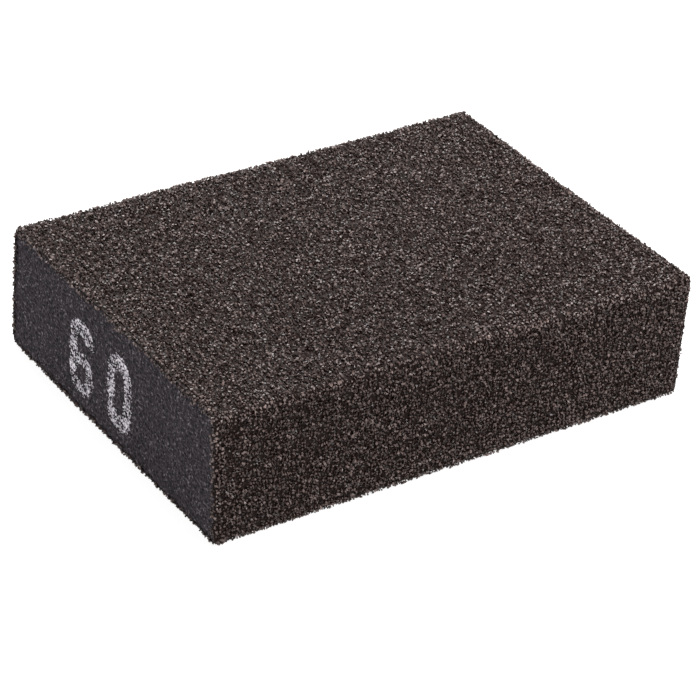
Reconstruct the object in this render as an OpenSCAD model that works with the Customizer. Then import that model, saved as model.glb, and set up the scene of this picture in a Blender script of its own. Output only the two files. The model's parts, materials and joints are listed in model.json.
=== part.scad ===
// Foam sanding block.
// A firm foam core is coated with abrasive on its two broad faces and its two
// long edges. Both short ends are bare, where the block was cut to length, and
// one of them carries an inked grit number.
//
// +X runs along the length, +Y across the width, towards the back, and +Z up.
// The origin is the centre of the underside. All sizes are in millimetres.

/* [Block] */
// Length between the two bare ends
block_length = 100; // [80:5:140]
// Width over the coated long edges
block_width = 70; // [60:5:100]
// Height over the coated broad faces
block_height = 25; // [22:1:40]
// Outer radius of the four long edges
edge_radius = 1.2; // [1.2:0.1:3]

/* [Coating] */
// Thickness of the resin that bonds the grain to the foam
bond_thickness = 0.2; // [0.1:0.05:0.3]
// Thickness of the grain and of the resin that locks it in
grain_thickness = 0.4; // [0.2:0.1:0.6]

/* [Grit number] */
// Height of the inked digits
digit_height = 15.4; // [14.6:0.2:17]
// Width of one digit
digit_width = 8.4; // [6:0.2:8.4]
// Thickness of the inked stroke
stroke_width = 2.7; // [1.2:0.1:2.8]
// Thickness of the 0's stroke at its top and foot, where the stamp leaves more ink
zero_cap = 3.6; // [1.2:0.1:4]
// Distance between the middles of the two digits
digit_pitch = 13; // [10:0.2:14]
// Distance of the number's middle behind the middle of the end
number_offset = 3.4; // [-6:0.2:6]
// Distance of the number's middle below the middle of the end
number_drop = 1.2; // [-1.2:0.2:1.2]
// Depth to which the ink soaks into the cut foam
ink_depth = 0.15; // [0.1:0.05:0.3]

/* [Hidden] */
$fn = 64;
coat_thickness = bond_thickness + grain_thickness;
// Height of a 6's bowl, as a share of the digit's height
bowl_share = 0.58;
// Height at which a 6's hook ends, as a share of the digit's height
hook_share = 0.7;
// Distance that a mask or a cutting tool runs past the solid it shapes
overrun = 1;
// Distance that a mitre line runs into the block from its corner
mitre_reach = 5;

// ---- Cross-section, drawn with Y to the right and Z up about its own middle

// The block's rounded outline, moved inwards by inset
module outline(inset) {
  width = block_width - 2 * inset;
  height = block_height - 2 * inset;
  radius = edge_radius - inset;
  square([width, height - 2 * radius], center = true);
  square([width - 2 * radius, height], center = true);
  for (side = [-1, 1], level = [-1, 1])
    translate([side * (width / 2 - radius), level * (height / 2 - radius)])
      circle(radius);
}

// The quarter of a block's cross-section that lies under its upper face. The
// slanted sides are mitre lines, which run in from the corners at 45 degrees.
module quarter(width, height) {
  polygon([
    [-width / 2 - overrun, height / 2 + overrun],
    [-width / 2 + mitre_reach, height / 2 - mitre_reach],
    [width / 2 - mitre_reach, height / 2 - mitre_reach],
    [width / 2 + overrun, height / 2 + overrun]
  ]);
}

module top_quarter() quarter(block_width, block_height);
module bottom_quarter() mirror([0, 1]) top_quarter();
module back_quarter() rotate(-90) quarter(block_height, block_width);
module front_quarter() mirror([1, 0]) back_quarter();

// Runs a cross-section along the whole length of the block
module along_length()
  translate([0, 0, block_height / 2])
    rotate([90, 0, 90])
      linear_extrude(block_length, center = true) children();

// The layer between two insets of the outline, in the quarter given as a child
module coat(outer_inset, thickness)
  along_length()
    intersection() {
      difference() {
        outline(outer_inset);
        outline(outer_inset + thickness);
      }
      children();
    }

module bond_coat() color("#241d1b") coat(grain_thickness, bond_thickness) children();
module abrasive() color("#463e3c") coat(0, grain_thickness) children();

// ---- Grit number, drawn with X to the right and Y up about a digit's middle

// An upright strip with round ends
module strip(width, height) {
  square([width, height - width], center = true);
  for (level = [-1, 1])
    translate([0, level * (height - width) / 2]) circle(width / 2);
}

// A closed stroke, with the thickness cap at its top and foot
module loop(width, height, cap)
  difference() {
    strip(width, height);
    strip(width - 2 * stroke_width, height - 2 * cap);
  }

module digit_zero() loop(digit_width, digit_height, zero_cap);

// A closed bowl, with a stem that rises on the left and hooks over to the right
module digit_six() {
  bowl_height = bowl_share * digit_height;
  bowl_middle = (bowl_height - digit_height) / 2;
  hook_end = (hook_share - 0.5) * digit_height;
  translate([0, bowl_middle]) loop(digit_width, bowl_height, stroke_width);
  intersection() {
    digit_zero();
    union() {
      translate([-digit_width, bowl_middle]) square([digit_width, digit_height]);
      translate([-digit_width, hook_end]) square([2 * digit_width, digit_height]);
    }
  }
}

// The number as it lies in the left end, upright, from its full depth in the
// foam to the distance proud outside it
module number(proud = 0)
  translate([ink_depth - block_length / 2, number_offset, block_height / 2 - number_drop])
    rotate([90, 0, -90])
      linear_extrude(ink_depth + proud) {
        translate([-digit_pitch / 2, 0]) digit_six();
        translate([digit_pitch / 2, 0]) digit_zero();
      }

// ---- Pieces

module foam_core()
  color("#3b363b")
    difference() {
      along_length() outline(coat_thickness);
      number(overrun);
    }

module top_bond_coat() bond_coat() top_quarter();
module bottom_bond_coat() bond_coat() bottom_quarter();
module front_bond_coat() bond_coat() front_quarter();
module back_bond_coat() bond_coat() back_quarter();

module top_abrasive() abrasive() top_quarter();
module bottom_abrasive() abrasive() bottom_quarter();
module front_abrasive() abrasive() front_quarter();
module back_abrasive() abrasive() back_quarter();

module grit_number() color("#c9c2c9") number();

foam_core();
top_bond_coat();
bottom_bond_coat();
front_bond_coat();
back_bond_coat();
top_abrasive();
bottom_abrasive();
front_abrasive();
back_abrasive();
grit_number();
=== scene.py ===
"""Foam sanding block: a cut foam core, abrasive coats on four faces and a stamped grit number."""

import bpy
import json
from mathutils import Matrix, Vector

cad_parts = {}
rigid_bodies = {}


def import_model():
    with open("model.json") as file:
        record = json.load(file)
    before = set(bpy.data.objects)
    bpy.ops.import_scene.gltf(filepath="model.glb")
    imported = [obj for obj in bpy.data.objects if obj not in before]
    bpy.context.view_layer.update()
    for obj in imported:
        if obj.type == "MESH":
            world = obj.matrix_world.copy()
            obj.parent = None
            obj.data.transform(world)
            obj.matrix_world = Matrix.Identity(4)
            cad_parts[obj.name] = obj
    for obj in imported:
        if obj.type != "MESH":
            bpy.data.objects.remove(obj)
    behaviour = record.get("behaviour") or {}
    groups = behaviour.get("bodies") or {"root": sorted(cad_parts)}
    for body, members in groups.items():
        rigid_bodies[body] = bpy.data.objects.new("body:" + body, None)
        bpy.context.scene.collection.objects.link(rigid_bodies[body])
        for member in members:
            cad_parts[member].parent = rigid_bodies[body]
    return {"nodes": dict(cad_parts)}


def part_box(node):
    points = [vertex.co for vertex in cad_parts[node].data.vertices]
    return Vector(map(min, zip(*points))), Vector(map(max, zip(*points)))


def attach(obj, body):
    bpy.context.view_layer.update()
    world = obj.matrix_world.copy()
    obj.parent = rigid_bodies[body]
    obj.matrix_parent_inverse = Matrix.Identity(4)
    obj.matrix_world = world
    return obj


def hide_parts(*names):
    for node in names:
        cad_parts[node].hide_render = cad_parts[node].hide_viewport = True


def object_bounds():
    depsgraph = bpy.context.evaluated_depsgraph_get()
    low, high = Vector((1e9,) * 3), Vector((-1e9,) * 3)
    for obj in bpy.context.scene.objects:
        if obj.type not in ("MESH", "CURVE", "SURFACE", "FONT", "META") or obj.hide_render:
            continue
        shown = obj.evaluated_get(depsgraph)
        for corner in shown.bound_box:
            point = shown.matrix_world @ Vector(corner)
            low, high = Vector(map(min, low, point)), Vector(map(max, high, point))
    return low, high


bl_info = {
    "name": "Foam Sanding Block",
    "version": (1, 0, 0),
    "blender": (4, 5, 0),
    "location": "3D View > Sidebar > Sanding Block",
    "description": "Builds a foam sanding block, and a studio for it, on the block's CAD frame",
    "category": "Object",
}

import json
import math
import random

import bmesh
import bpy
from mathutils import Matrix, Vector, noise
from mathutils.bvhtree import BVHTree

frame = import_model()

MM = 0.001
BODY = "root"

# The noise's vectors come from the clock until it has a seed
NOISE_SEED = 7
noise.seed_set(NOISE_SEED)

# ---- Sizes taken from the frame, in metres

LOW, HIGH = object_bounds()
CENTRE = (LOW + HIGH) / 2
LENGTH, WIDTH, HEIGHT = HIGH - LOW
# Depth under a coated face of the resin's outer side, and of the foam
RESIN_DEPTH = HIGH.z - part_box("top_bond_coat")[1].z
FOAM_DEPTH = HIGH.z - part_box("foam_core")[1].z
# A face's coat runs halfway round each rounded long edge, to 45 degrees
HALF_WAY = math.radians(45)
EDGE_RADIUS = (WIDTH / 2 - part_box("top_abrasive")[1].y) / (1 - math.cos(HALF_WAY))

# Each coated face is made as an upper face of this width and height, then turned
# about the block's length by this angle
FACES = {
    "top": (WIDTH, HEIGHT, 0),
    "front": (HEIGHT, WIDTH, 90),
    "bottom": (WIDTH, HEIGHT, 180),
    "back": (HEIGHT, WIDTH, 270),
}

# ---- Sizes chosen for the looks

# Distance from one rise of the soft faces to the next
WAVE = 28 * MM
# The shares of half the length and of half the height, next to an end's top and bottom edges,
# that the knife pressed in
PRESSED_LENGTH = 0.03
PRESSED_HEIGHT = 0.24
# How far the grain turns down over the cut ends, the radius of that turn, how far it lies back
# from the end, and the width of the rags at its foot
LIP = 0.8 * MM
LIP_RADIUS = 0.3 * MM
LIP_SETBACK = 0.12 * MM
LIP_RAGS = 1.5 * MM
# How much paler the lip's foot is in tint than grain that isn't rubbed
LIP_TINT = 0.1
# Width of the border that is rubbed pale, with a painted highlight that is strongest at the top,
# on a broad face and on a narrow one, and how much paler its outermost grains are in tint
BROAD_BORDER = (2.4 * MM, 0.4)
NARROW_BORDER = (1.2 * MM, 0.9)
# Width of the lumps in the resin, and how far they rise and fall
RESIN_LUMPS = 0.9 * MM
RESIN_RISE = 0.15 * MM
# Steps of the grids under the resin and under the grain, along the block and across it
RESIN_GRID = (0.8 * MM, 0.4 * MM)
GRAIN_GRID = (1 * MM, 0.5 * MM)
# A crushed grain is the hull of this many corners, at these distances from its middle in widths
GRAIN_CORNERS = 8
GRAIN_REACH = (0.42, 0.6)

# Steps of the grids on the foam's ends, in cells, and along its sides
END_STEP = 0.36
SIDE_STEP = 5 * MM
# Reach of an opened cell's hollow from the cell's middle, in cells
CELL_REACH = 0.7
# Width of the cut's own hollows, and their depth as a share of a cell's
CUT_HOLLOWS = 2 * MM
CUT_DEPTH = 0.6

# Width of the wavers in the number's outline, and how far they wander
INK_WAVER = 0.6 * MM
INK_WANDER = 0.3 * MM
# Widths of the threads, of the finer ones that fray them and of the patches where they are thick
INK_THREADS = 0.42 * MM
INK_FRAYS = 0.2 * MM
INK_PATCHES = 1.3 * MM
# Takes the patches' noise from a place of its own
PATCH_SHIFT = Vector((9, 0, 0))
# How much barer the strokes' rims are than their middles
RIM_BARENESS = 0.35

# The light table's reach on each side, its grid's step, how far out it is flat, and how steeply
# it rises beyond
TABLE_REACH = 3.5
TABLE_STEP = 0.25
TABLE_FLAT = 2
TABLE_RISE = 0.15


# ---- Settings

def linear(colour):
    """Linear RGBA of an sRGB hex colour."""
    channels = [int(colour[i:i + 2], 16) / 255 for i in (0, 2, 4)]
    return [c / 12.92 if c <= 0.04045 else ((c + 0.055) / 1.055) ** 2.4 for c in channels] + [1]


class ShapeSettings(bpy.types.PropertyGroup):
    lean_left: bpy.props.FloatProperty(
        name="Lean at the left",
        description="How far the front leans in at its top and out at its foot, at the left end",
        default=1.2 * MM, unit="LENGTH")
    lean_right: bpy.props.FloatProperty(
        name="Lean at the right", description="The same at the right end",
        default=0.4 * MM, unit="LENGTH")
    skew: bpy.props.FloatProperty(
        name="Skew", description="How much shorter the block is cut along its back than its front",
        default=1.6 * MM, unit="LENGTH")
    undercut: bpy.props.FloatProperty(
        name="Undercut", description="How much shorter the block is cut at its foot, at the right end",
        default=0.45 * MM, unit="LENGTH")
    rounding: bpy.props.FloatProperty(
        name="Rounding", description="How far the cut ends fall back at their corners",
        default=0.4 * MM, unit="LENGTH")
    waviness: bpy.props.FloatProperty(
        name="Waviness", description="How far the soft faces rise and fall",
        default=0.25 * MM, unit="LENGTH")


class FoamSettings(bpy.types.PropertyGroup):
    cell_size: bpy.props.FloatProperty(
        name="Cell size", description="Width of one cell of the cut foam",
        default=0.62 * MM, unit="LENGTH")
    cell_depth: bpy.props.FloatProperty(
        name="Cell depth", description="Depth of a cell that the cut has opened",
        default=0.22 * MM, unit="LENGTH")
    # The dark colour is painted shade inside the opened cells
    dark: bpy.props.FloatVectorProperty(
        name="Dark colour", description="Colour inside the cells", subtype="COLOR", size=4,
        default=linear("0e0b0f"))
    light: bpy.props.FloatVectorProperty(
        name="Light colour", description="Colour of the cut cell walls", subtype="COLOR", size=4,
        default=linear("3c343b"))


class CoatSettings(bpy.types.PropertyGroup):
    spacing: bpy.props.FloatProperty(
        name="Grain spacing", description="Least distance between two grains",
        default=0.4 * MM, unit="LENGTH")
    grain_size: bpy.props.FloatProperty(
        name="Grain size", description="Width of an average grain",
        default=0.57 * MM, unit="LENGTH")
    size_spread: bpy.props.FloatProperty(
        name="Size spread", description="Share by which a grain may be larger or smaller",
        default=0.3, subtype="FACTOR")
    lift: bpy.props.FloatProperty(
        name="Lift", description="Height of an average grain's middle over the resin",
        default=0.2 * MM, unit="LENGTH")
    unevenness: bpy.props.FloatProperty(
        name="Unevenness", description="How much higher or lower than its neighbours a grain may sit",
        default=0.06 * MM, unit="LENGTH")
    clump_size: bpy.props.FloatProperty(
        name="Clump size", description="Width of a clump of grains that stands over a cell's wall",
        default=0.55 * MM, unit="LENGTH")
    clump_height: bpy.props.FloatProperty(
        name="Clump height", description="Height from the pits between clumps to their tops",
        default=0.3 * MM, unit="LENGTH")
    grain_kinds: bpy.props.IntProperty(
        name="Grain shapes", description="Number of different grain shapes", default=12)
    seed: bpy.props.IntProperty(name="Seed", description="Seed of the grains' places", default=7)
    dark: bpy.props.FloatVectorProperty(
        name="Dark grain", description="Colour of the darkest grain", subtype="COLOR", size=4,
        default=linear("321f19"))
    light: bpy.props.FloatVectorProperty(
        name="Light grain", description="Colour of the lightest grain", subtype="COLOR", size=4,
        default=linear("7e6c67"))
    resin: bpy.props.FloatVectorProperty(
        name="Resin", description="Colour of the cured resin", subtype="COLOR", size=4,
        default=linear("1b0f0b"))


class InkSettings(bpy.types.PropertyGroup):
    speck: bpy.props.FloatProperty(
        name="Speck", description="Width of the smallest speck of ink", default=0.13 * MM,
        unit="LENGTH")
    bareness: bpy.props.FloatProperty(
        name="Bareness", description="How much of the number took no ink: 0 is half, 1 is all",
        default=0.06, subtype="FACTOR")
    rim: bpy.props.FloatProperty(
        name="Rim", description="Width of the strokes' thinly inked rims", default=0.35 * MM,
        unit="LENGTH")
    thickness: bpy.props.FloatProperty(
        name="Thickness", description="Thickness of the ink film", default=0.04 * MM, unit="LENGTH")
    colour: bpy.props.FloatVectorProperty(
        name="Ink", description="Colour of the dried ink", subtype="COLOR", size=4,
        default=linear("f0ebf2"))


class StageSettings(bpy.types.PropertyGroup):
    azimuth: bpy.props.FloatProperty(
        name="Azimuth", description="Direction of the camera round the block",
        default=math.radians(-36.36), subtype="ANGLE")
    elevation: bpy.props.FloatProperty(
        name="Elevation", description="Height of the camera over the horizon",
        default=math.radians(32.85), subtype="ANGLE")
    roll: bpy.props.FloatProperty(
        name="Roll", description="Turn of the camera about its own view", default=math.radians(5.11),
        subtype="ANGLE")
    distance: bpy.props.FloatProperty(
        name="Distance", description="Distance of the camera from the block's middle",
        default=583.2 * MM, unit="LENGTH")
    sideways: bpy.props.FloatProperty(
        name="Sideways", description="Distance of the view's middle to the right of the block's",
        default=0.05 * MM, unit="LENGTH")
    downwards: bpy.props.FloatProperty(
        name="Downwards", description="Distance of the view's middle below the block's",
        default=7.18 * MM, unit="LENGTH")
    lens: bpy.props.FloatProperty(
        name="Lens", description="Focal length on a 36 mm sensor, in millimetres", default=165.8)
    floor: bpy.props.FloatVectorProperty(
        name="Floor", description="Colour of the light table", subtype="COLOR", size=4,
        default=linear("8c8c8c"))


# ---- Materials

def node(tree, kind, inputs=None, **settings):
    """Adds a node with its settings. An input given a socket is linked to it, any other is set."""
    made = tree.nodes.new(kind)
    for name, value in settings.items():
        setattr(made, name, value)
    for key, value in (inputs or {}).items():
        if isinstance(value, bpy.types.NodeSocket):
            tree.links.new(value, made.inputs[key])
        else:
            made.inputs[key].default_value = value
    return made


def new_material(name, **shader_inputs):
    """A material with one Principled shader, and that shader. Its inputs' spaces are written _."""
    material = bpy.data.materials.new(name)
    material.use_nodes = True
    tree = material.node_tree
    tree.nodes.clear()
    inputs = {key.replace("_", " "): value for key, value in shader_inputs.items()}
    shader = node(tree, "ShaderNodeBsdfPrincipled", inputs)
    node(tree, "ShaderNodeOutputMaterial", {"Surface": shader.outputs[0]})
    return material, tree, shader


def cut_foam(settings):
    """Closed-cell foam, knife cut: matt and dark, with paler cell walls and painted shade, near black,
    in the open cells.
    """
    material, tree, shader = new_material("Cut closed-cell foam", Roughness=0.88)
    shader.inputs["Specular IOR Level"].default_value = 0.25
    place = node(tree, "ShaderNodeTexCoord").outputs["Object"]
    cells = node(tree, "ShaderNodeTexVoronoi",
                 {"Vector": place, "Scale": 1 / settings.cell_size, "Randomness": 1.0})
    # Some walls stretched and tore under the knife, and stand out paler
    tears = node(tree, "ShaderNodeTexNoise",
                 {"Vector": place, "Scale": 0.8 / settings.cell_size, "Detail": 3.0})
    walls = node(tree, "ShaderNodeMath", {0: cells.outputs["Distance"], 1: tears.outputs["Fac"]},
                 operation="MULTIPLY")
    # Darkest towards each cell's middle: painted shade in the opened cells
    factor = node(tree, "ShaderNodeMapRange",
                  {"Value": walls.outputs[0], "From Min": 0.08, "From Max": 0.42})
    colour = node(tree, "ShaderNodeMix",
                  {0: factor.outputs["Result"], 6: settings.dark, 7: settings.light},
                  data_type="RGBA")
    # Here and there the knife's edge lifted a pale shred
    shreds = node(tree, "ShaderNodeTexNoise",
                  {"Vector": place, "Scale": 1.25 / settings.cell_size, "Detail": 1.0})
    shredded = node(tree, "ShaderNodeMapRange",
                    {"Value": shreds.outputs["Fac"], "From Min": 0.6, "From Max": 0.74})
    colour = node(tree, "ShaderNodeMix",
                  {0: shredded.outputs["Result"], 6: colour.outputs[2], 7: linear("766f75")},
                  data_type="RGBA")
    tree.links.new(colour.outputs[2], shader.inputs["Base Color"])
    bump = node(tree, "ShaderNodeBump", {"Height": cells.outputs["Distance"], "Strength": 0.6,
                                         "Distance": settings.cell_size / 3})
    tree.links.new(bump.outputs["Normal"], shader.inputs["Normal"])
    return material


def cured_resin(settings):
    """Brushed and oven-cured phenolic resin: brown-black, with a painted sheen, a paler brown, where
    it pooled.
    """
    material, tree, shader = new_material("Cured phenolic resin", Roughness=0.6)
    shader.inputs["Specular IOR Level"].default_value = 0.1
    place = node(tree, "ShaderNodeTexCoord").outputs["Object"]
    pools = node(tree, "ShaderNodeTexNoise", {"Vector": place, "Scale": 1 / (0.8 * MM), "Detail": 2.0})
    # Paler where the resin pooled: a painted sheen
    colour = node(tree, "ShaderNodeMix",
                  {0: pools.outputs["Fac"], 6: settings.resin, 7: linear("211714")},
                  data_type="RGBA")
    tree.links.new(colour.outputs[2], shader.inputs["Base Color"])
    bump = node(tree, "ShaderNodeBump", {"Height": pools.outputs["Fac"], "Strength": 0.6,
                                         "Distance": 0.2 * MM})
    tree.links.new(bump.outputs["Normal"], shader.inputs["Normal"])
    return material


def fused_alumina(settings):
    """Brown fused alumina, crushed: hard angular grains of many browns. Their feet are drowned in
    the dark resin, and their tips stand clear of it, with bright facets."""
    material, tree, shader = new_material("Brown fused alumina grain", Roughness=0.45)
    # tint holds each grain's own tone, painted shade in the pits and a painted highlight on the top
    # edges
    tint = node(tree, "ShaderNodeAttribute", attribute_name="tint")
    own = node(tree, "ShaderNodeMix",
               {0: tint.outputs["Fac"], 6: settings.dark, 7: settings.light}, data_type="RGBA",
               clamp_factor=False)
    height = node(tree, "ShaderNodeAttribute", attribute_name="height")
    clear = node(tree, "ShaderNodeMapRange",
                 {"Value": height.outputs["Fac"], "From Min": 0.08 * MM, "From Max": 0.42 * MM})
    colour = node(tree, "ShaderNodeMix",
                  {0: clear.outputs["Result"], 6: settings.resin, 7: own.outputs[2]},
                  data_type="RGBA")
    tree.links.new(colour.outputs[2], shader.inputs["Base Color"])
    return material


def stamping_ink(settings):
    """Pigmented stamping ink, dried on foam: chalky off-white, thin at its rims."""
    material, tree, shader = new_material("Dried stamping ink", Roughness=0.8)
    place = node(tree, "ShaderNodeTexCoord").outputs["Object"]
    film = node(tree, "ShaderNodeTexNoise", {"Vector": place, "Scale": 1 / (0.7 * MM), "Detail": 3.0})
    factor = node(tree, "ShaderNodeMapRange",
                  {"Value": film.outputs["Fac"], "From Min": 0.35, "From Max": 0.6})
    colour = node(tree, "ShaderNodeMix",
                  {0: factor.outputs["Result"], 6: linear("a49ea7"), 7: settings.colour},
                  data_type="RGBA")
    tree.links.new(colour.outputs[2], shader.inputs["Base Color"])
    return material


def light_table(settings):
    """Opal acrylic, lit from below: an even white that softens the shadow on it."""
    material, tree, shader = new_material("Opal acrylic", Roughness=0.6)
    shader.inputs["Base Color"].default_value = settings.floor
    shader.inputs["Emission Color"].default_value = linear("ffffff")
    shader.inputs["Emission Strength"].default_value = 0.93
    return material


# ---- Making

def link(name, mesh):
    """A new object with this mesh in the scene, at the origin."""
    made = bpy.data.objects.new(name, mesh)
    bpy.context.scene.collection.objects.link(made)
    return made


def grid_mesh(name, rows):
    """A mesh of quads over rows of points, with its faces towards the rows' cross product."""
    columns = len(rows[0])
    faces = [(r * columns + c, r * columns + c + 1, (r + 1) * columns + c + 1, (r + 1) * columns + c)
             for r in range(len(rows) - 1) for c in range(columns - 1)]
    mesh = bpy.data.meshes.new(name)
    mesh.from_pydata([point for row in rows for point in row], [], faces)
    return mesh


def spread(low, high, step):
    """Evenly spaced values from low to high, about a step apart."""
    count = max(1, round((high - low) / step))
    return [low + (high - low) * i / count for i in range(count + 1)]


def settle(point, shape):
    """Where a point of the ideal block lies on the real one, which is cut from soft sheet: its front
    leans, its ends are a little out of square with rounded edges, and its faces are not quite
    flat. Its foot stays on the floor."""
    rightwards = point.x / LENGTH + 0.5
    backwards = point.y / WIDTH + 0.5
    upwards = point.z / HEIGHT
    lean = shape.lean_left + (shape.lean_right - shape.lean_left) * rightwards
    wave = noise.noise_vector(point / WAVE) * shape.waviness
    # The knife pressed the soft edges of the ends in
    near_end = max(0, abs(2 * rightwards - 1) - 1 + PRESSED_LENGTH) / PRESSED_LENGTH
    near_edge = max(0, abs(2 * upwards - 1) - 1 + PRESSED_HEIGHT) / PRESSED_HEIGHT
    pressed = math.copysign(shape.rounding * near_end * near_edge ** 2, point.x)
    shorter = rightwards * (shape.skew * backwards + shape.undercut * (1 - upwards))
    return point + Vector((wave.x - pressed - shorter,
                           wave.y + lean * (1 - backwards) * (2 * upwards - 1),
                           wave.z * upwards))


def cut_edge(depth, lip):
    """Places along the block and depths of the grid that turns a coat down over its right cut end,
    round a small corner."""
    end = HIGH.x - LIP_SETBACK
    turns = [math.radians(angle) for angle in (0, 30, 60, 90)]
    arc = [(end - LIP_RADIUS * (1 - math.sin(turn)), depth + LIP_RADIUS * (1 - math.cos(turn)))
           for turn in turns]
    return arc + [(end, depth + lip)]


def coat_surface(face, depth, along, across, shape, roughness=0.0, lip=0.0, border=None):
    """A grid over a coated face at a depth under its outer side, halfway round its long edges.
    along and across are the grid's steps, roughness is how far its lumps rise and fall, lip is
    how far it turns down over the cut ends, and border is the width and the tint of its rim, rubbed
    pale and with a painted highlight that is strongest at the top, stored in the attribute "wear"."""
    width, height, angle = FACES[face]
    turn = Matrix.Translation((0, 0, CENTRE.z)) @ Matrix.Rotation(math.radians(angle), 4, "X")
    flat = width / 2 - EDGE_RADIUS
    reach = flat + EDGE_RADIUS * HALF_WAY
    stations = [(x, depth) for x in spread(LOW.x, HIGH.x, along)]
    if lip:
        edge = cut_edge(depth, lip)
        stations = [(-x, level) for x, level in edge[::-1]] + stations[1:-1] + edge
    rows, wear = [], []
    for s in spread(-reach, reach, across):
        bend = max(0, abs(s) - flat) / EDGE_RADIUS
        side = math.copysign(1, s)
        up = Vector((0, side * math.sin(bend), math.cos(bend)))
        root = Vector((0, side * min(abs(s), flat), height / 2 - EDGE_RADIUS))
        row = []
        for x, level in stations:
            if lip and level == depth + lip:
                # The lip's foot is ragged
                level += lip * noise.noise(Vector((x, s, angle)) / LIP_RAGS)
            ideal = root + up * (EDGE_RADIUS - level) + Vector((x, 0, 0))
            lump = noise.noise(ideal / RESIN_LUMPS + Vector((0, 0, angle))) * roughness
            row.append(settle(turn @ (ideal + up * lump), shape))
            if border:
                # Rubbed pale near the edges, and a painted highlight: palest round the top, fading
                # with height towards the foot
                inwards = min(reach - abs(s), HIGH.x - abs(x))
                rubbed_and_lit = border[1] * max(0, 1 - inwards / border[0]) * row[-1].z / HEIGHT
                wear.append(LIP_TINT if level > depth + lip / 2 else rubbed_and_lit)
        rows.append(row)
    mesh = grid_mesh(face, rows)
    if border:
        mesh.attributes.new("wear", "FLOAT", "POINT").data.foreach_set("value", wear)
    return mesh


def bake(made, name):
    """Turns an object with modifiers into a plain mesh object of this name, and removes the first."""
    depsgraph = bpy.context.evaluated_depsgraph_get()
    mesh = bpy.data.meshes.new_from_object(made.evaluated_get(depsgraph), depsgraph=depsgraph)
    mesh.name = name
    bpy.data.objects.remove(made)
    return link(name, mesh)


def settle_in(piece, slot, *nodes):
    """Fixes a finished piece to the block, in place of the CAD nodes it stands for."""
    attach(piece, BODY)
    if nodes:
        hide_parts(*nodes)


def grain_shapes(count, seed):
    """A hidden collection of crushed grains about one unit across, each the hull of a few points."""
    rng = random.Random(seed)
    collection = bpy.data.collections.new("Grain shapes")
    for index in range(count):
        shape = bmesh.new()
        for _ in range(GRAIN_CORNERS):
            direction = Vector([rng.gauss(0, 1) for _ in range(3)]).normalized()
            shape.verts.new(direction * rng.uniform(*GRAIN_REACH))
        hull = bmesh.ops.convex_hull(shape, input=shape.verts)
        loose = [part for part in hull["geom_interior"] + hull["geom_unused"]
                 if isinstance(part, bmesh.types.BMVert)]
        bmesh.ops.delete(shape, geom=loose, context="VERTS")
        mesh = bpy.data.meshes.new(f"Grain {index}")
        shape.to_mesh(mesh)
        shape.free()
        collection.objects.link(bpy.data.objects.new(mesh.name, mesh))
    return collection


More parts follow.
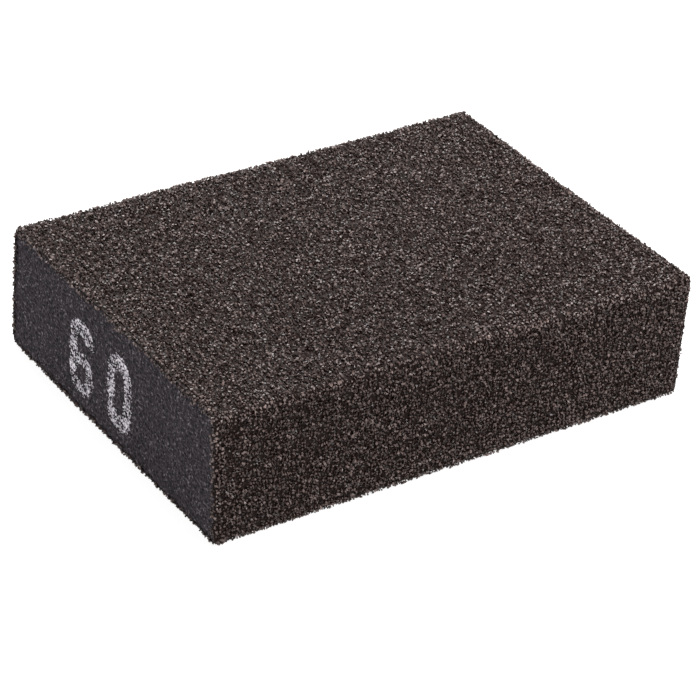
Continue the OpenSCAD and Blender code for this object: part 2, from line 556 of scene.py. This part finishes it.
def scatter_tree():
    """Geometry nodes that scatter grains over a surface, between two distances along the block."""
    tree = bpy.data.node_groups.new("Scatter grain", "GeometryNodeTree")
    inputs = (
        ("Surface", "NodeSocketGeometry"), ("From", "NodeSocketFloat"), ("To", "NodeSocketFloat"),
        ("Spacing", "NodeSocketFloat"), ("Grain Size", "NodeSocketFloat"),
        ("Size Spread", "NodeSocketFloat"), ("Lift", "NodeSocketFloat"),
        ("Unevenness", "NodeSocketFloat"), ("Clump Size", "NodeSocketFloat"),
        ("Clump Height", "NodeSocketFloat"),
        ("Seed", "NodeSocketInt"), ("Grains", "NodeSocketCollection"),
        ("Material", "NodeSocketMaterial"),
    )
    for name, kind in inputs:
        tree.interface.new_socket(name, in_out="INPUT", socket_type=kind)
    tree.interface.new_socket("Coat", in_out="OUTPUT", socket_type="NodeSocketGeometry")
    given = node(tree, "NodeGroupInput").outputs
    place = node(tree, "GeometryNodeInputPosition").outputs[0]

    # Grains stand in clumps, over the walls of the cells below, with thinner cover between them
    frequency = node(tree, "ShaderNodeMath", {0: 1.0, 1: given["Clump Size"]}, operation="DIVIDE")
    waves = node(tree, "ShaderNodeTexNoise", {"Vector": place, "Scale": frequency.outputs[0],
                                              "Detail": 0.0})
    clump = node(tree, "ShaderNodeMapRange",
                 {"Value": waves.outputs["Fac"], "From Min": 0.3, "From Max": 0.7}).outputs[0]
    cover = node(tree, "ShaderNodeMapRange", {"Value": clump, "To Min": 0.85, "To Max": 1.0})
    area = node(tree, "ShaderNodeMath", {0: given["Spacing"], 1: given["Spacing"]},
                operation="MULTIPLY")
    # Enough tries to leave no gap where one more grain would fit
    tries = node(tree, "ShaderNodeMath", {0: 4.0, 1: area.outputs[0]}, operation="DIVIDE")
    points = node(tree, "GeometryNodeDistributePointsOnFaces",
                  {"Mesh": given["Surface"], "Distance Min": given["Spacing"],
                   "Density Max": tries.outputs[0], "Density Factor": cover.outputs["Result"],
                   "Seed": given["Seed"]},
                  distribute_method="POISSON")
    along = node(tree, "ShaderNodeSeparateXYZ", {0: place}).outputs["X"]
    before = node(tree, "FunctionNodeCompare", {0: along, 1: given["From"]}, operation="LESS_THAN")
    after = node(tree, "FunctionNodeCompare", {0: along, 1: given["To"]},
                 operation="GREATER_EQUAL")
    outside = node(tree, "FunctionNodeBooleanMath", {0: before.outputs[0], 1: after.outputs[0]},
                   operation="OR")
    kept = node(tree, "GeometryNodeDeleteGeometry",
                {"Geometry": points.outputs["Points"], "Selection": outside.outputs[0]},
                domain="POINT")

    # Painted shade: the pits between the clumps hold only dark grains, and the tallest clumps the
    # palest. Where the coat is rubbed all are paler, with a painted highlight along the top edges
    own_tint = node(tree, "FunctionNodeRandomValue", {2: 0.0, 3: 1.0, "Seed": 1},
                    data_type="FLOAT")
    shared = node(tree, "ShaderNodeMath", {0: clump, 1: own_tint.outputs[1]},
                  operation="MULTIPLY")
    wear = node(tree, "GeometryNodeInputNamedAttribute", {"Name": "wear"}, data_type="FLOAT")
    tint = node(tree, "ShaderNodeMath",
                {0: wear.outputs[0], 1: shared.outputs[0]}, operation="ADD")
    tinted = node(tree, "GeometryNodeStoreNamedAttribute",
                  {"Geometry": kept.outputs[0], "Name": "tint", "Value": tint.outputs[0]},
                  data_type="FLOAT", domain="POINT")

    # A grain's height is its clump's, and a little more or less
    lowest = node(tree, "ShaderNodeMath", {0: given["Lift"], 1: given["Unevenness"]},
                  operation="SUBTRACT")
    highest = node(tree, "ShaderNodeMath", {0: given["Lift"], 1: given["Unevenness"]},
                   operation="ADD")
    own_height = node(tree, "FunctionNodeRandomValue",
                      {2: lowest.outputs[0], 3: highest.outputs[0], "Seed": 4}, data_type="FLOAT")
    middle = node(tree, "ShaderNodeMath", {0: clump, 1: 0.5}, operation="SUBTRACT")
    height = node(tree, "ShaderNodeMath",
                  {0: middle.outputs[0], 1: given["Clump Height"], 2: own_height.outputs[1]},
                  operation="MULTIPLY_ADD")
    offset = node(tree, "ShaderNodeVectorMath",
                  {0: points.outputs["Normal"], "Scale": height.outputs[0]}, operation="SCALE")
    lifted = node(tree, "GeometryNodeSetPosition",
                  {"Geometry": tinted.outputs[0], "Offset": offset.outputs[0]})
    smallest = node(tree, "ShaderNodeMath", {0: 1.0, 1: given["Size Spread"]}, operation="SUBTRACT")
    largest = node(tree, "ShaderNodeMath", {0: 1.0, 1: given["Size Spread"]}, operation="ADD")
    share = node(tree, "FunctionNodeRandomValue",
                 {2: smallest.outputs[0], 3: largest.outputs[0], "Seed": 2}, data_type="FLOAT")
    size = node(tree, "ShaderNodeMath", {0: share.outputs[1], 1: given["Grain Size"]},
                operation="MULTIPLY")
    turn = node(tree, "FunctionNodeRandomValue", {0: (0, 0, 0), 1: (math.tau,) * 3, "Seed": 3},
                data_type="FLOAT_VECTOR")
    grains = node(tree, "GeometryNodeCollectionInfo",
                  {"Collection": given["Grains"], "Separate Children": True,
                   "Reset Children": True})
    placed = node(tree, "GeometryNodeInstanceOnPoints",
                  {"Points": lifted.outputs[0], "Instance": grains.outputs[0],
                   "Pick Instance": True, "Rotation": turn.outputs[0], "Scale": size.outputs[0]})
    real = node(tree, "GeometryNodeRealizeInstances", {0: placed.outputs[0]})

    # How high each corner of a grain stands over the resin
    over = node(tree, "GeometryNodeProximity",
                {"Geometry": given["Surface"], "Sample Position": place}, target_element="FACES")
    measured = node(tree, "GeometryNodeStoreNamedAttribute",
                    {"Geometry": real.outputs[0], "Name": "height",
                     "Value": over.outputs["Distance"]},
                    data_type="FLOAT", domain="POINT")
    finished = node(tree, "GeometryNodeSetMaterial",
                    {"Geometry": measured.outputs[0], "Material": given["Material"]})
    node(tree, "NodeGroupOutput", {"Coat": finished.outputs[0]})
    return tree


def use_tree(made, tree, **values):
    """Gives an object a geometry nodes modifier with these inputs, whose spaces are written _."""
    modifier = made.modifiers.new(tree.name, "NODES")
    modifier.node_group = tree
    for item in tree.interface.items_tree:
        key = item.name.replace(" ", "_")
        if item.in_out == "INPUT" and key in values:
            modifier[item.identifier] = values[key]
    return modifier


# ---- Operators, one for each piece or group of like pieces

class SANDINGBLOCK_OT_foam(bpy.types.Operator):
    """Make the foam core, with its cells cut open on both bare ends"""
    bl_idname = "sanding_block.foam"
    bl_label = "Foam core"

    def execute(self, context):
        settings = context.scene.sanding_foam
        made = link("foam_body", foam_block(settings, context.scene.sanding_shape))
        made.data.materials.append(cut_foam(settings))
        settle_in(made, "foam", "foam_core")
        return {"FINISHED"}


def cut_end(end_x, y, z, settings, shape):
    """A point of the foam's cut end: deepest in the middle of an opened cell."""
    ideal = Vector((end_x, y, z))
    distances = noise.voronoi(ideal / settings.cell_size)[0]
    openness = max(0, 1 - distances[0] / CELL_REACH)
    unevenness = 0.5 + 0.5 * noise.noise(ideal / CUT_HOLLOWS)
    ideal.x -= math.copysign(settings.cell_depth * (openness + CUT_DEPTH * unevenness), end_x)
    return settle(ideal, shape)


def foam_block(settings, shape):
    """A closed mesh of the foam, with fine grids on its bare ends and coarse sides under the coats."""
    step = settings.cell_size * END_STEP
    half_width = WIDTH / 2 - FOAM_DEPTH
    half_height = HEIGHT / 2 - FOAM_DEPTH
    radius = EDGE_RADIUS - FOAM_DEPTH
    across = spread(-half_width, half_width, step)
    upwards = spread(-half_height, half_height, step)

    def rounded(y, z):
        """Pulls a point near the section's corner onto the rounded outline."""
        over_y = abs(y) - (half_width - radius)
        over_z = abs(z) - (half_height - radius)
        reach = math.hypot(over_y, over_z)
        if over_y > 0 and over_z > 0 and reach > radius:
            y = math.copysign(half_width - radius + over_y * radius / reach, y)
            z = math.copysign(half_height - radius + over_z * radius / reach, z)
        return y, z

    block = bmesh.new()
    rims = []
    for end_x in (LOW.x, HIGH.x):
        grid = []
        for z in upwards:
            places = [rounded(y, z) for y in across]
            grid.append([block.verts.new(cut_end(end_x, at_y, at_z + CENTRE.z, settings, shape))
                         for at_y, at_z in places])
        for low_row, high_row in zip(grid, grid[1:]):
            for i in range(len(across) - 1):
                corners = [low_row[i], low_row[i + 1], high_row[i + 1], high_row[i]]
                block.faces.new(corners if end_x > 0 else corners[::-1])
        rim = (grid[0] + [row[-1] for row in grid[1:]] + grid[-1][-2::-1]
               + [row[0] for row in grid[-2:0:-1]])
        rims.append(rim)
    left, right = rims
    outline = [rounded(y, upwards[0]) for y in across]
    outline += [rounded(across[-1], z) for z in upwards[1:]]
    outline += [rounded(y, upwards[-1]) for y in across[-2::-1]]
    outline += [rounded(across[0], z) for z in upwards[-2:0:-1]]
    loops = [left]
    for x in spread(LOW.x, HIGH.x, SIDE_STEP)[1:-1]:
        loops.append([block.verts.new(settle(Vector((x, y, z + CENTRE.z)), shape))
                      for y, z in outline])
    loops.append(right)
    for first, second in zip(loops, loops[1:]):
        for i in range(len(first)):
            j = (i + 1) % len(first)
            block.faces.new([first[j], first[i], second[i], second[j]])
    bmesh.ops.recalc_face_normals(block, faces=block.faces)
    mesh = bpy.data.meshes.new("Foam body")
    block.to_mesh(mesh)
    block.free()
    return mesh


class SANDINGBLOCK_OT_resin(bpy.types.Operator):
    """Make the resin that bonds the grain to each coated face"""
    bl_idname = "sanding_block.resin"
    bl_label = "Resin coats"

    def execute(self, context):
        material = cured_resin(context.scene.sanding_coat)
        shape = context.scene.sanding_shape
        for face in FACES:
            mesh = coat_surface(face, RESIN_DEPTH, *RESIN_GRID, shape, roughness=RESIN_RISE)
            film = link(f"{face} film", mesh)
            solid = film.modifiers.new("Thickness", "SOLIDIFY")
            solid.thickness = FOAM_DEPTH - RESIN_DEPTH
            solid.offset = -1
            piece = bake(film, f"{face}_resin")
            piece.data.materials.append(material)
            settle_in(piece, "bond_resin", f"{face}_bond_coat")
        return {"FINISHED"}


class SANDINGBLOCK_OT_grain(bpy.types.Operator):
    """Scatter the abrasive grain over each coated face"""
    bl_idname = "sanding_block.grain"
    bl_label = "Abrasive grain"

    def execute(self, context):
        settings = context.scene.sanding_coat
        material = fused_alumina(settings)
        shape = context.scene.sanding_shape
        shapes = grain_shapes(settings.grain_kinds, settings.seed)
        tree = scatter_tree()
        for face, (width, _, angle) in FACES.items():
            # A broad face's grain is two pieces, to keep each mesh light
            cuts = [-LENGTH, 0, LENGTH] if width == WIDTH else [-LENGTH, LENGTH]
            sides = ["_left", "_right"] if width == WIDTH else [""]
            border = BROAD_BORDER if width == WIDTH else NARROW_BORDER
            for side, low, high in zip(sides, cuts, cuts[1:]):
                name = f"{face}_grain{side}"
                mesh = coat_surface(face, RESIN_DEPTH, *GRAIN_GRID, shape, lip=LIP, border=border)
                surface = link(f"{name} surface", mesh)
                use_tree(surface, tree, From=low, To=high, Spacing=settings.spacing,
                         Grain_Size=settings.grain_size, Size_Spread=settings.size_spread,
                         Lift=settings.lift, Unevenness=settings.unevenness,
                         Clump_Size=settings.clump_size, Clump_Height=settings.clump_height,
                         Seed=settings.seed + angle, Grains=shapes, Material=material)
                piece = bake(surface, name)
                settle_in(piece, "abrasive_grain", f"{face}_abrasive")
        for grain in list(shapes.objects):
            bpy.data.objects.remove(grain)
        bpy.data.collections.remove(shapes)
        return {"FINISHED"}


class SANDINGBLOCK_OT_number(bpy.types.Operator):
    """Stamp the grit number on the left bare end"""
    bl_idname = "sanding_block.number"
    bl_label = "Grit number"

    def execute(self, context):
        settings = context.scene.sanding_ink
        film = link("Ink film", ink_film(settings, context.scene.sanding_foam,
                                         context.scene.sanding_shape))
        solid = film.modifiers.new("Thickness", "SOLIDIFY")
        solid.thickness = 2 * settings.thickness
        solid.offset = -1
        piece = bake(film, "ink_number")
        piece.data.materials.append(stamping_ink(settings))
        settle_in(piece, "ink", "grit_number")
        return {"FINISHED"}


def ink_film(settings, foam, shape):
    """A mesh of the ink that the cell walls took from the stamp, just proud of the foam."""
    stamp = frame["nodes"]["grit_number"].data
    strokes = BVHTree.FromPolygons([v.co for v in stamp.vertices],
                                   [p.vertices for p in stamp.polygons])
    low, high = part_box("grit_number")
    patch = bmesh.new()
    corners = {}

    def corner(y, z):
        """The film's corner at this place, made once."""
        key = (round(y / settings.speck), round(z / settings.speck))
        if key not in corners:
            point = cut_end(LOW.x, y, z, foam, shape)
            corners[key] = patch.verts.new(point - Vector((settings.thickness, 0, 0)))
        return corners[key]

    def pressed(y, z):
        """Whether a stroke of the stamp pressed on this place."""
        return strokes.ray_cast(Vector((2 * LOW.x, y, z)), Vector((1, 0, 0)))[0] is not None

    rim = settings.rim
    across = math.ceil((high.y - low.y) / settings.speck)
    upwards = math.ceil((high.z - low.z) / settings.speck)
    for i in range(across):
        for j in range(upwards):
            y, z = low.y + i * settings.speck, low.z + j * settings.speck
            place = Vector((LOW.x, y, z))
            wander = noise.noise_vector(place / INK_WAVER) * INK_WANDER
            over_y, over_z = y + wander.y, z + wander.z
            if not pressed(over_y, over_z):
                continue
            # The torn walls took the ink in threads, the open cells between them didn't, and
            # the stamp's rims left little
            threads = (noise.noise(place / INK_THREADS) + 0.5 * noise.noise(place / INK_FRAYS)
                       + 0.5 * noise.noise(place / INK_PATCHES + PATCH_SHIFT))
            firm = all(pressed(over_y + dy, over_z + dz)
                       for dy, dz in ((rim, 0), (-rim, 0), (0, rim), (0, -rim)))
            if threads < settings.bareness + (0 if firm else RIM_BARENESS):
                continue
            patch.faces.new([corner(y, z), corner(y, z + settings.speck),
                             corner(y + settings.speck, z + settings.speck),
                             corner(y + settings.speck, z)])
    mesh = bpy.data.meshes.new("Ink film")
    patch.to_mesh(mesh)
    patch.free()
    return mesh


class SANDINGBLOCK_OT_stage(bpy.types.Operator):
    """Make the light table, the lights and the camera"""
    bl_idname = "sanding_block.stage"
    bl_label = "Stage"

    def execute(self, context):
        settings = context.scene.sanding_stage
        table = link("Light table", table_mesh())
        table.data.materials.append(light_table(settings))
        world = bpy.data.worlds.new("White tent")
        world.use_nodes = True
        background = world.node_tree.nodes["Background"]
        background.inputs["Color"].default_value = linear("ffffff")
        background.inputs["Strength"].default_value = 0.3
        context.scene.world = world
        add_light("Key softbox", (0.26, -0.28, 0.64), 0.25, 4.7, "ffffff")
        add_light("Back softbox", (0.12, 0.42, 0.45), 0.3, 4.9, "ffffff")
        camera = bpy.data.objects.new("Camera", bpy.data.cameras.new("Camera"))
        context.scene.collection.objects.link(camera)
        camera.data.lens = settings.lens
        camera.data.sensor_width = 36
        camera.matrix_world = camera_place(settings)
        context.scene.camera = camera
        context.scene.view_settings.view_transform = "Standard"
        return {"FINISHED"}


def table_mesh():
    """A wide table that rises into a low rim far away, so that low views end on it too."""
    places = spread(-TABLE_REACH, TABLE_REACH, TABLE_STEP)
    rows = [[(x, y, TABLE_RISE * max(0, math.hypot(x, y) - TABLE_FLAT) ** 2) for x in places]
            for y in places]
    return grid_mesh("Table", rows)


def add_light(name, place, size, power, colour):
    """A square area light that faces the block's middle."""
    light = bpy.data.lights.new(name, "AREA")
    light.size = size
    light.energy = power
    light.color = linear(colour)[:3]
    lamp = bpy.data.objects.new(name, light)
    bpy.context.scene.collection.objects.link(lamp)
    lamp.location = place
    lamp.rotation_euler = (Vector(place) - CENTRE).to_track_quat("Z", "Y").to_euler()


def camera_place(settings):
    """The camera's matrix. Azimuth 0 looks along +Y."""
    azimuth, elevation = settings.azimuth, settings.elevation
    back = Vector((math.sin(azimuth) * math.cos(elevation), -math.cos(azimuth) * math.cos(elevation),
                   math.sin(elevation)))
    level = Vector((0, 0, 1)).cross(back).normalized()
    turn = Matrix((level, back.cross(level), back)).transposed()
    turn = turn @ Matrix.Rotation(settings.roll, 3, "Z")
    shift = Vector((settings.sideways, -settings.downwards, settings.distance))
    return Matrix.Translation(CENTRE + turn @ shift) @ turn.to_4x4()


# ---- Panel and registration

class SANDINGBLOCK_PT_panel(bpy.types.Panel):
    """The steps that build the block"""
    bl_idname = "SANDINGBLOCK_PT_panel"
    bl_label = "Sanding Block"
    bl_space_type = "VIEW_3D"
    bl_region_type = "UI"
    bl_category = "Sanding Block"

    def draw(self, context):
        for operator in OPERATORS:
            self.layout.operator(operator.bl_idname)


SETTINGS = {
    "sanding_shape": ShapeSettings,
    "sanding_foam": FoamSettings,
    "sanding_coat": CoatSettings,
    "sanding_ink": InkSettings,
    "sanding_stage": StageSettings,
}
OPERATORS = (
    SANDINGBLOCK_OT_stage,
    SANDINGBLOCK_OT_foam,
    SANDINGBLOCK_OT_resin,
    SANDINGBLOCK_OT_grain,
    SANDINGBLOCK_OT_number,
)


def register():
    for name, group in SETTINGS.items():
        bpy.utils.register_class(group)
        setattr(bpy.types.Scene, name, bpy.props.PointerProperty(type=group))
    for made in (*OPERATORS, SANDINGBLOCK_PT_panel):
        bpy.utils.register_class(made)


def unregister():
    for made in (SANDINGBLOCK_PT_panel, *reversed(OPERATORS)):
        bpy.utils.unregister_class(made)
    for name, group in reversed(SETTINGS.items()):
        delattr(bpy.types.Scene, name)
        bpy.utils.unregister_class(group)


def main():
    register()
    bpy.ops.sanding_block.stage()
    bpy.ops.sanding_block.foam()
    bpy.ops.sanding_block.resin()
    bpy.ops.sanding_block.grain()
    bpy.ops.sanding_block.number()


if __name__ == "__main__":
    main()
